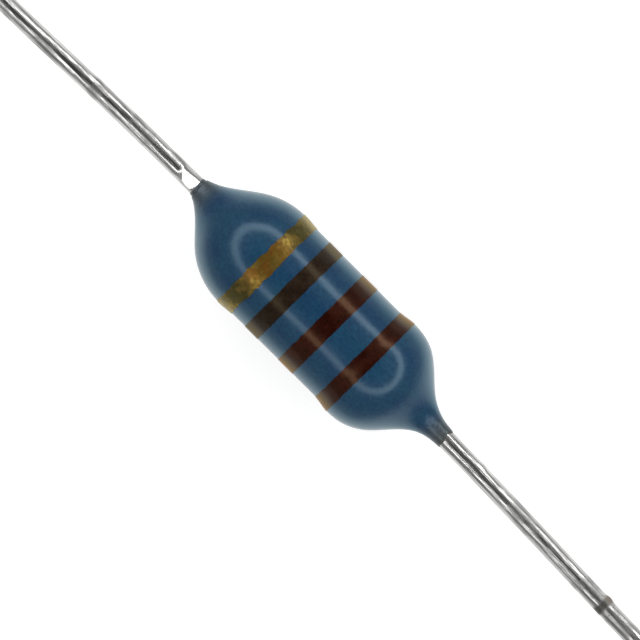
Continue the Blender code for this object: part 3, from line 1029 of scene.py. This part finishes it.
# Where each effect of the film starts and is full, in millimetres along X from the part's middle
FILM_DULLER = (4.2, 5.2)
FILM_WRINKLED = (4.7, 5.3)
FILM_THIN = (4.95, 5.75)
FILM_EDGE_DARK = (5.70, 6.08)

# The roughness of the body and of the film. Above about 0.27 the denoiser draws a false ring where
# the lamp's reflection ends on a neck.
EPOXY_ROUGHNESS = (0.21, 0.236)

# How much of the grey and of the dust shows, and how high pits and wrinkles are beside the ripples
FILM_COVER = 0.92
DUST_COVER = 0.5
PIT_HEIGHT = 0.3
WRINKLE_HEIGHT = 6.0


def make_epoxy():
    """Glossy dark blue with a painted paler reflection edge on, grey where it thins out to a film on
    the leads.
    """
    material, tree, shader = new_material("blue_epoxy")
    place = place_in_millimetres(tree)
    forwards = axes(tree, place)["X"]
    along = calculate(tree, "ABSOLUTE", forwards)
    clouds = mottle(tree, place, per_millimetre=1.3)
    grain = mottle(tree, place, per_millimetre=9.0, darkest=0.88, lightest=1.14)
    ripples = mottle(tree, place, per_millimetre=3.0, detail=2.0)
    dust = specks(tree, place, per_millimetre=2.6, share=0.16, size=0.10)
    colour = mix(tree, clouds["Shade"], BLUE, CLOUDY_BLUE)
    colour = shaded(tree, colour, grain["Shade"])
    colour = mix(tree, calculate(tree, "MULTIPLY", dust, DUST_COVER), colour, DUST)
    # Painted reflection: a paler blue is mixed in where the surface is seen edge on
    colour = mix(tree, edge_on(tree, *PAINTED_REFLECTION_RIM), colour, PAINTED_REFLECTION_BLUE)
    thin = calculate(tree, "MULTIPLY", remap(tree, along, *FILM_THIN), FILM_COVER)
    colour = mix(tree, thin, colour, FILM_GREY)
    colour = mix(tree, remap(tree, forwards, *FILM_EDGE_DARK), colour, FILM_EDGE_GREY)
    roughness = remap(tree, along, *FILM_DULLER, *EPOXY_ROUGHNESS)
    pits = calculate(tree, "MULTIPLY_ADD", dust, PIT_HEIGHT, ripples["Height"])
    wrinkled = remap(tree, along, *FILM_WRINKLED, 0.0, WRINKLE_HEIGHT)
    wrinkles = calculate(tree, "MULTIPLY", wrinkled, grain["Height"])
    fill(tree, shader, {
        "Base Color": colour,
        "Roughness": calculate(tree, "MULTIPLY", grain["Shade"], roughness),
        "Specular Tint": BLUE_GLOSS_TINT,
        "Normal": bump(tree, calculate(tree, "ADD", pits, wrinkles), strength=0.25, depth=0.000012),
    })
    return material


dress(coat, make_epoxy())
print("epoxy is on the coat")

# %% [markdown]
# ## Finish of the inks
#
# The inks are glossy like the coat under them. The gold is made of fine metal flakes in a brown
# varnish: some flakes catch the light, others stay dark, so its colour is mixed by two scales of
# noise, and its metal comes and goes with the same mask. It is rust brown in the middle and olive
# on its flanks, and a paler colour is painted in where it is seen edge on, as a painted reflection.

# %% Make the gold ink
OLIVE = rgb(0.080, 0.070, 0.021)
OCHRE = rgb(0.165, 0.108, 0.014)
RUST = rgb(0.215, 0.090, 0.014)
GOLD = rgb(0.42, 0.27, 0.07)
PAINTED_REFLECTION_GOLD = rgb(0.30, 0.285, 0.18)
GOLD_GLOSS_TINT = rgb(1.0, 0.80, 0.36)
# How far the surface has turned away from the eye where the painted reflection starts and is full
PAINTED_REFLECTION_GOLD_RIM = (0.45, 0.85)

# Where the olive of the flanks starts and is full, in millimetres from the axis, and how far a
# patch pushes this outwards
FLANK = (0.35, 1.25)
FLANK_WAVER = 0.3

# Patches have this share in the bright spots and single flakes have the rest. Then come the values
# from which a spot is bright, and how much of the gold colour it shows.
PATCH_SHARE = 0.6
BRIGHT_FLAKES = (0.40, 1.0)
BRIGHT_COVER = 0.45

# What a flake does to the colour and the gloss, from the darkest flake to the lightest, and how
# metallic the varnish is and what a bright spot adds
FLAKE_SHADE = (0.84, 1.16)
FLAKE_ROUGHNESS = (0.37, 0.29)
VARNISH_METAL = 0.45
FLAKE_METAL = 0.60


def make_gold_ink():
    """Metal flakes in brown varnish."""
    material, tree, shader = new_material("gold_ink")
    place = place_in_millimetres(tree)
    patches = mottle(tree, place, per_millimetre=2.4, detail=2.0)
    flakes = mottle(tree, place, per_millimetre=6.5, detail=3.0)
    bright = calculate(tree, "MULTIPLY", flakes["Shade"], 1 - PATCH_SHARE)
    bright = calculate(tree, "MULTIPLY_ADD", patches["Shade"], PATCH_SHARE, bright)
    bright = calculate(tree, "MULTIPLY", remap(tree, bright, *BRIGHT_FLAKES), BRIGHT_COVER)
    across = calculate(tree, "ABSOLUTE", axes(tree, place)["Y"])
    across = calculate(tree, "MULTIPLY_ADD", patches["Shade"], -FLANK_WAVER, across)
    colour = mix(tree, patches["Shade"], RUST, OCHRE)
    colour = mix(tree, remap(tree, across, *FLANK), colour, OLIVE)
    colour = shaded(tree, colour, remap(tree, flakes["Shade"], 0.0, 1.0, *FLAKE_SHADE))
    colour = mix(tree, bright, colour, GOLD)
    # Painted reflection: a paler colour is mixed in where the ink is seen edge on
    colour = mix(tree, edge_on(tree, *PAINTED_REFLECTION_GOLD_RIM), colour, PAINTED_REFLECTION_GOLD)
    fill(tree, shader, {
        "Base Color": colour,
        "Metallic": calculate(tree, "MULTIPLY_ADD", bright, FLAKE_METAL, VARNISH_METAL),
        "Roughness": remap(tree, flakes["Shade"], 0.0, 1.0, *FLAKE_ROUGHNESS),
        "Specular Tint": GOLD_GLOSS_TINT,
        "Normal": bump(tree, flakes["Height"], strength=0.45, depth=0.00002),
    })
    return material


gold_ink = make_gold_ink()
print("made", gold_ink.name)

# %% [markdown]
# The dark inks are a little uneven, with thin spots, and tint what they mirror. A bronze colour and
# some metal are painted in where they are seen edge on, as a painted sheen. One recipe makes both of
# them.

# %% Make the dark inks and print the rings
# Where the painted bronze sheen starts and is full, by how far the surface turns from the eye, and
# its metal
PAINTED_SHEEN_RIM = (0.42, 0.70)
PAINTED_SHEEN_METAL = 0.6


def make_dark_ink(name, ink, thin_ink, painted_sheen_colour, tint, roughness):
    """A glossy ink with thin spots and a painted bronze sheen at its rim."""
    material, tree, shader = new_material(name)
    place = place_in_millimetres(tree)
    patches = mottle(tree, place, per_millimetre=2.4)
    grain = mottle(tree, place, per_millimetre=11.0, darkest=0.80, lightest=1.22)
    painted_sheen = edge_on(tree, *PAINTED_SHEEN_RIM)
    colour = shaded(tree, mix(tree, patches["Shade"], ink, thin_ink), grain["Shade"])
    fill(tree, shader, {
        "Base Color": mix(tree, painted_sheen, colour, painted_sheen_colour),
        "Metallic": calculate(tree, "MULTIPLY", painted_sheen, PAINTED_SHEEN_METAL),
        "Roughness": calculate(tree, "MULTIPLY", grain["Shade"], roughness),
        "Specular Tint": tint,
        "Normal": bump(tree, grain["Height"], strength=0.25, depth=0.000008),
    })
    return material


black_ink = make_dark_ink(
    "black_ink",
    ink=rgb(0.0170, 0.0100, 0.0062),
    thin_ink=rgb(0.0285, 0.0180, 0.0122),
    painted_sheen_colour=rgb(0.140, 0.118, 0.030),
    tint=rgb(0.36, 0.28, 0.16),
    roughness=0.22,
)
red_ink = make_dark_ink(
    "red_ink",
    ink=rgb(0.0180, 0.0030, 0.0017),
    thin_ink=rgb(0.0335, 0.0064, 0.0037),
    painted_sheen_colour=rgb(0.108, 0.112, 0.055),
    tint=rgb(0.80, 0.46, 0.27),
    roughness=0.20,
)
INKS = {"gold_ink": gold_ink, "black_ink": black_ink, "red_ink": red_ink}
INK_OF_RING = {
    "gold_band": "gold_ink",
    "black_band": "black_ink",
    "red_band_1": "red_ink",
    "red_band_2": "red_ink",
}
for node, ink in INK_OF_RING.items():
    dress(ink_pieces[node], INKS[ink])
    print(ink_pieces[node].name, "has", ink)

# %% [markdown]
# ## Finish of the tin
#
# Tin on drawn wire mirrors its surroundings, but not cleanly. Coarse and fine lines run along the
# wire from the drawing die, and they spread every reflection across it. There are dull grey
# patches too. Noise that is stretched along X gives the lines, and clouds give the patches. The
# metal is painted darker where it is seen edge on, as painted shade. The flat on the crank is smooth.
# The nick near the end of what the picture shows is stained dark and has a burr on one side, so a
# mask round it darkens the metal.

# %% Make the tinned wire
BRIGHT_TIN = rgb(0.80, 0.80, 0.78)
DULL_TIN = rgb(0.38, 0.38, 0.37)
STAIN = rgb(0.045, 0.042, 0.034)
BURR = rgb(0.20, 0.175, 0.145)

# The noise of the drawn lines changes this much more slowly along the wire than across it
DRAWN = (0.045, 1.0, 1.0)

# The values from which a patch is dull, how much of the dull colour it shows, the roughness of the
# bright tin, and what a dull patch adds to it
DULL_PATCHES = (0.55, 1.0)
DULL_COVER = 0.7
TIN_ROUGHNESS = 0.22
DULL_ROUGHNESS = 0.14

# How dark the painted shade makes the tin where it is seen edge on, and how high patches and fine
# lines are beside the coarse lines
PAINTED_SHADE_RIM = (0.30, 0.60)
PAINTED_EDGE_SHADE = 0.72
PATCH_HEIGHT = 0.7
FINE_HEIGHT = 0.6

# The stain round the nick, in millimetres from its middle, with an edge that the fine lines fray,
# and the burr, in millimetres from the axis towards +Y
STAINED = (0.32, 0.46)
STAIN_COVER = 0.92
STAIN_FRAY = 0.25
BURR_SIDE = (0.05, 0.18)

# The smooth flat, in millimetres from its middle
FLAT_MIDDLE = -COAT_ENDS[LEFT] - FLAT_END / 2
SMOOTH_FLAT = (0.36, 0.55)


def distance_along(tree, along, x):
    """How far a place is from x along the wire, in millimetres."""
    return calculate(tree, "ABSOLUTE", calculate(tree, "SUBTRACT", along, x * MILLIMETRES))


def make_tinned_wire():
    """Tin with drawn lines and dull patches, stained at the nick and smooth on the flat."""
    material, tree, shader = new_material("tinned_wire")
    place = place_in_millimetres(tree)
    directions = axes(tree, place)
    along = directions["X"]
    drawn = place_in_millimetres(tree, DRAWN)
    lines = mottle(tree, drawn, per_millimetre=9.0, darkest=0.62, lightest=1.10, detail=2.0)
    fine = mottle(tree, drawn, per_millimetre=32.0, darkest=0.85, lightest=1.05, detail=1.0)
    patches = mottle(tree, place, per_millimetre=0.9, detail=5.0)
    dull = remap(tree, patches["Shade"], *DULL_PATCHES)
    from_nick = distance_along(tree, along, NICK_AT)
    from_nick = calculate(tree, "MULTIPLY_ADD", fine["Shade"], STAIN_FRAY, from_nick)
    stained = remap(tree, from_nick, *STAINED, 1.0, 0.0)
    stain = mix(tree, remap(tree, directions["Y"], *BURR_SIDE), STAIN, BURR)
    colour = mix(tree, calculate(tree, "MULTIPLY", dull, DULL_COVER), BRIGHT_TIN, DULL_TIN)
    colour = shaded(tree, colour, lines["Shade"])
    # Painted shade: the tin is made darker where it is seen edge on
    colour = shaded(tree, colour, edge_on(tree, *PAINTED_SHADE_RIM, 1.0, PAINTED_EDGE_SHADE))
    colour = mix(tree, calculate(tree, "MULTIPLY", stained, STAIN_COVER), colour, stain)
    height = calculate(tree, "MULTIPLY_ADD", patches["Height"], PATCH_HEIGHT, lines["Height"])
    height = calculate(tree, "MULTIPLY_ADD", fine["Height"], FINE_HEIGHT, height)
    outside_flat = remap(tree, distance_along(tree, along, FLAT_MIDDLE), *SMOOTH_FLAT)
    height = calculate(tree, "MULTIPLY", height, outside_flat)
    fill(tree, shader, {
        "Base Color": colour,
        "Metallic": calculate(tree, "SUBTRACT", 1.0, stained),
        "Roughness": calculate(tree, "MULTIPLY_ADD", dull, DULL_ROUGHNESS, TIN_ROUGHNESS),
        "Normal": bump(tree, height, strength=0.6, depth=0.00002),
    })
    return material


tinned_wire = make_tinned_wire()
for lead in leads.values():
    dress(lead, tinned_wire)
print("tin is on both leads")

# %% [markdown]
# ## Finishes of the inner pieces
#
# The drum, the wire and the solder lie inside the coat, and their plain pieces stay as they are.
# They get the finishes of the real ones all the same: grey sintered ferrite with pores, copper
# under clear enamel, and solder with a dull skin.

# %% Finish the inner pieces
FERRITE = rgb(0.055, 0.052, 0.050)
PORE = rgb(0.012, 0.011, 0.011)
COPPER = rgb(0.62, 0.24, 0.085)
SOLDER = rgb(0.60, 0.60, 0.585)


def make_ferrite():
    """Grey ceramic with dark pores."""
    material, tree, shader = new_material("ferrite")
    place = place_in_millimetres(tree)
    grain = mottle(tree, place, per_millimetre=6.0, darkest=0.75, lightest=1.3)
    pores = specks(tree, place, per_millimetre=5.0, share=0.3, size=0.25)
    fill(tree, shader, {
        "Base Color": mix(tree, pores, shaded(tree, FERRITE, grain["Shade"]), PORE),
        "Roughness": 0.62,
        "Normal": bump(tree, grain["Height"], strength=0.5, depth=0.00002),
    })
    return material


def make_copper():
    """Copper under a coat of clear enamel."""
    material, tree, shader = new_material("enamelled_copper")
    place = place_in_millimetres(tree)
    grain = mottle(tree, place, per_millimetre=4.0, darkest=0.82, lightest=1.1)
    fill(tree, shader, {
        "Base Color": shaded(tree, COPPER, grain["Shade"]),
        "Metallic": 1.0,
        "Roughness": 0.28,
        "Coat Weight": 0.8,
        "Normal": bump(tree, grain["Height"], strength=0.2, depth=0.00001),
    })
    return material


def make_solder():
    """Tin with a dull, uneven skin."""
    material, tree, shader = new_material("solder")
    place = place_in_millimetres(tree)
    skin = mottle(tree, place, per_millimetre=3.0, darkest=0.72, lightest=1.12)
    fill(tree, shader, {
        "Base Color": shaded(tree, SOLDER, skin["Shade"]),
        "Metallic": 1.0,
        "Roughness": calculate(tree, "MULTIPLY", skin["Shade"], 0.32),
        "Normal": bump(tree, skin["Height"], strength=0.3, depth=0.00002),
    })
    return material


solder = make_solder()
INNER_FINISHES = {
    "ferrite_core": make_ferrite(),
    "copper_winding": make_copper(),
    "solder_left": solder,
    "solder_right": solder,
}
for node, finish in INNER_FINISHES.items():
    dress(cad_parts[node], finish)
    print(node, "has", finish.name)
